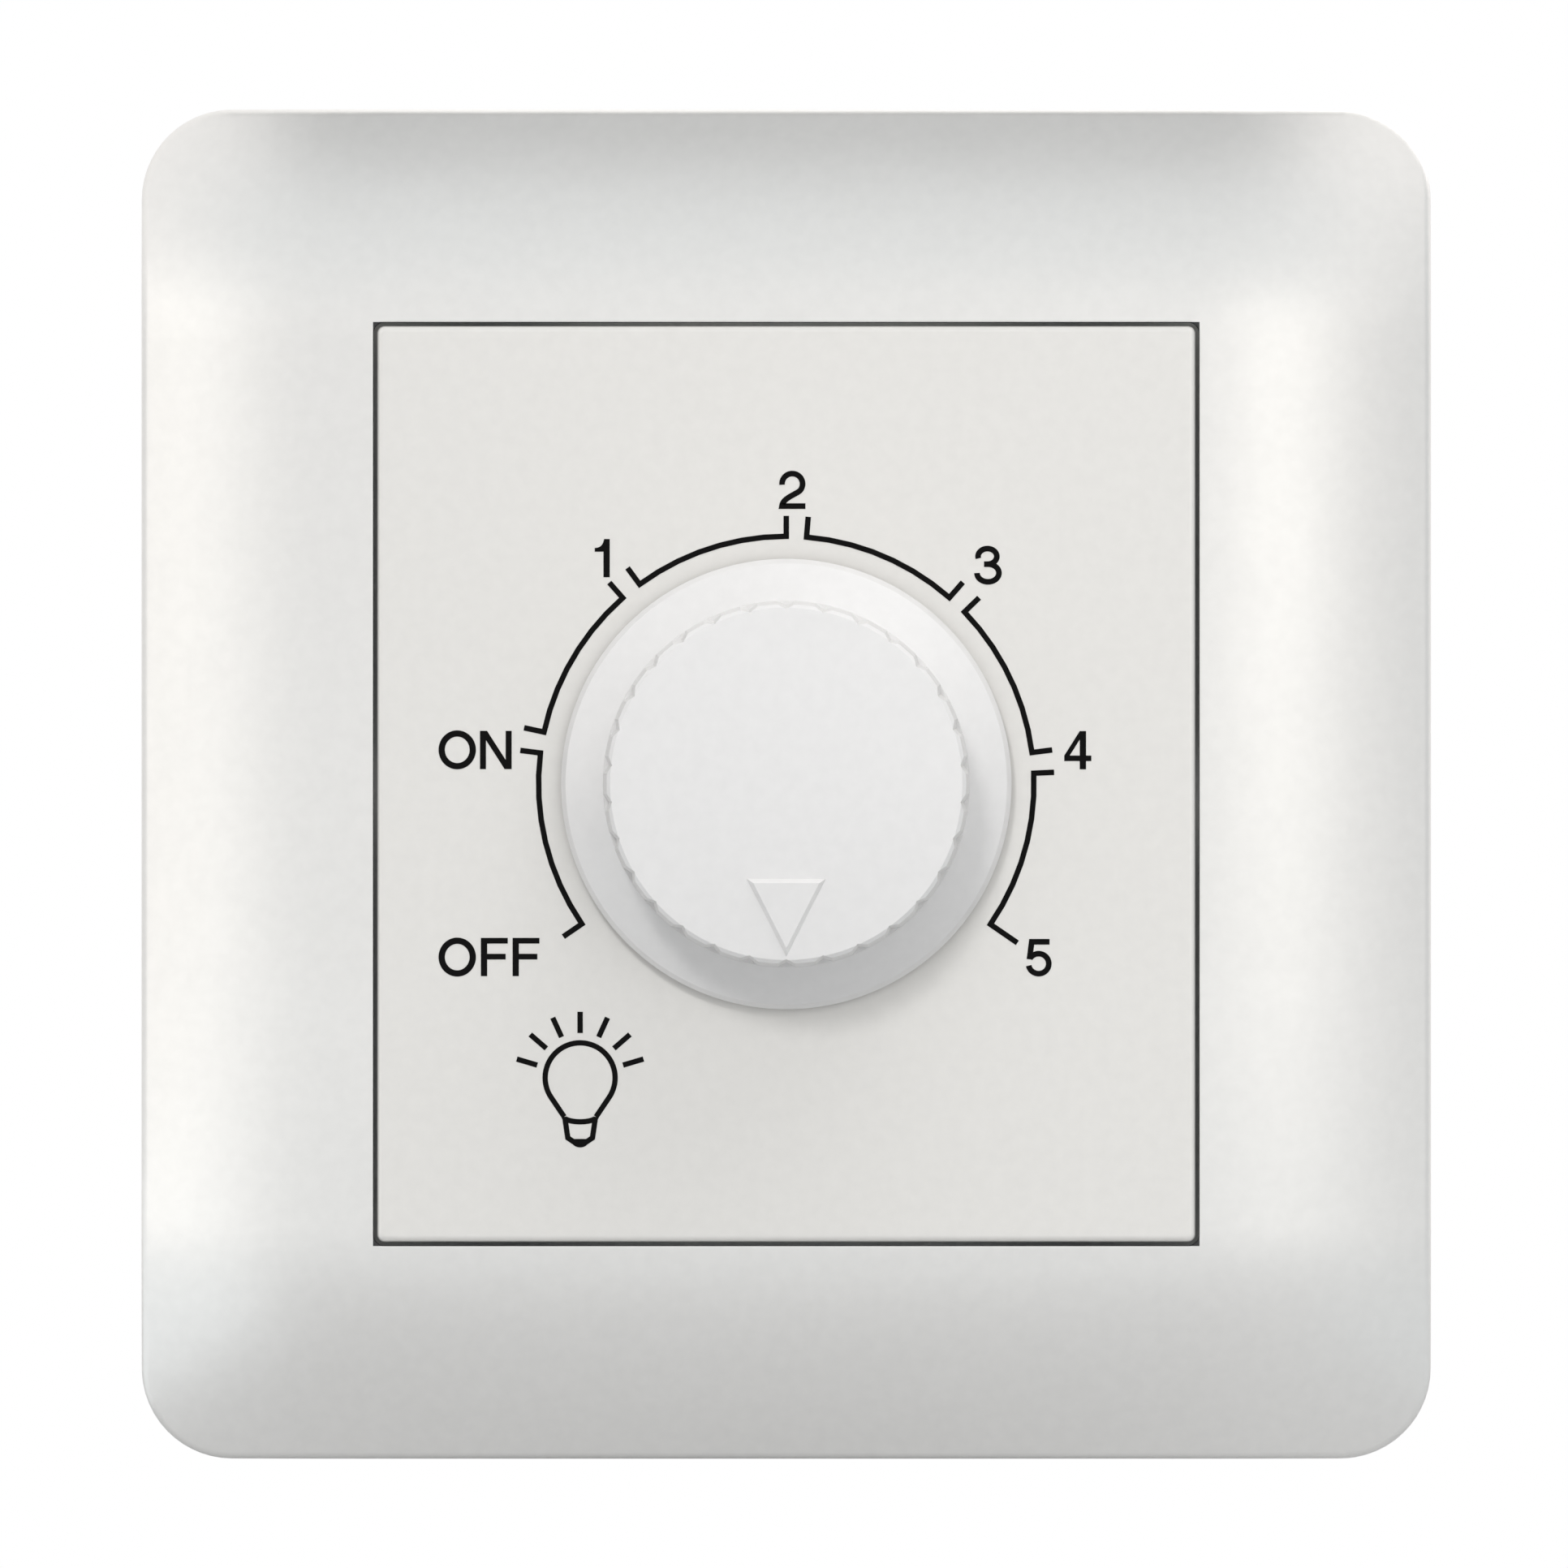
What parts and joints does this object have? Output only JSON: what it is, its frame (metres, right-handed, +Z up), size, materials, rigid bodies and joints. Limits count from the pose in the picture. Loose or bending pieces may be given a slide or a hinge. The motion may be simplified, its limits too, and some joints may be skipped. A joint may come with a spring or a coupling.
{
  "type": "rotary dimmer switch",
  "caption": "Wall-mounted rotary light dimmer: crowned silver surround, flat printed panel and a skirted, notched knob with a raised arrowhead, ahead of a moulded case with wire terminals.",
  "frame": {"origin": "on the wall plane, midway between the two box screws, behind the middle of the plate", "axes": "the front faces -Y and the case goes into the wall along +Y; +X is to the right as seen from the front; +Z is up the wall"},
  "size_m": [0.086, 0.0488, 0.09],
  "materials": {
    "surround_lacquer": "satin silver lacquer on moulded plastic",
    "panel_lacquer": "fine satin silver lacquer with dark printed scale",
    "knob_lacquer": "fine satin silver lacquer",
    "zinc_steel": "bright zinc plate",
    "spring_steel": "blued spring steel",
    "shaft_alloy": "turned alloy",
    "brass": "machined brass",
    "tinned_metal": "dull tin plate",
    "copper_wire": "enamelled copper wire",
    "iron_powder": "lacquered iron powder core",
    "rear_plastic": "fine spark texture, charcoal",
    "switch_plastic": "plain moulded",
    "laminate": "paper laminate",
    "black_moulding": "black moulded body",
    "film_box": "yellow moulded box",
    "resistor_lacquer": "tan lacquer",
    "clear_glass": "clear tube",
    "grey_pad": "silicone pad"
  },
  "bodies": {
    "base": {"bush_nut": "zinc_steel", "bush_washer": "zinc_steel", "choke_core": "iron_powder", "choke_winding": "copper_wire", "circuit_board": "laminate", "diac": "black_moulding", "filter_capacitor": "film_box", "front_panel": "panel_lacquer", "fuse_caps": "tinned_metal", "fuse_clips": "brass", "fuse_tube": "clear_glass", "fuse_wire": "copper_wire", "housing_screws": "zinc_steel", "live_terminal": "brass", "load_terminal": "brass", "mounting_yoke": "zinc_steel", "pot_case": "zinc_steel", "pot_pins": "tinned_metal", "pot_wafer": "laminate", "rear_housing": "rear_plastic", "resistors": "resistor_lacquer", "shaft_bush": "shaft_alloy", "surround_frame": "surround_lacquer", "switch_anvil": "brass", "switch_body": "switch_plastic", "switch_leaf": "brass", "terminal_screws": "zinc_steel", "timing_capacitor": "film_box", "triac_body": "black_moulding", "triac_leads": "tinned_metal", "triac_nut": "zinc_steel", "triac_pad": "grey_pad", "triac_screw": "zinc_steel", "triac_tab": "tinned_metal"},
    "dial": {"control_knob": "knob_lacquer", "knob_spring": "spring_steel", "control_shaft": "shaft_alloy", "shaft_circlip": "spring_steel", "pot_rotor": "switch_plastic", "pot_wiper": "brass", "switch_cam": "switch_plastic"}
  },
  "joints": [
    {"name": "knob_turn", "type": "hinge", "parent": "base", "child": "dial", "pos_m": [0, 0, 0], "axis": [0, 1, 0], "range_deg": [0, 304], "deforming": ["switch_leaf"]}
  ]
}
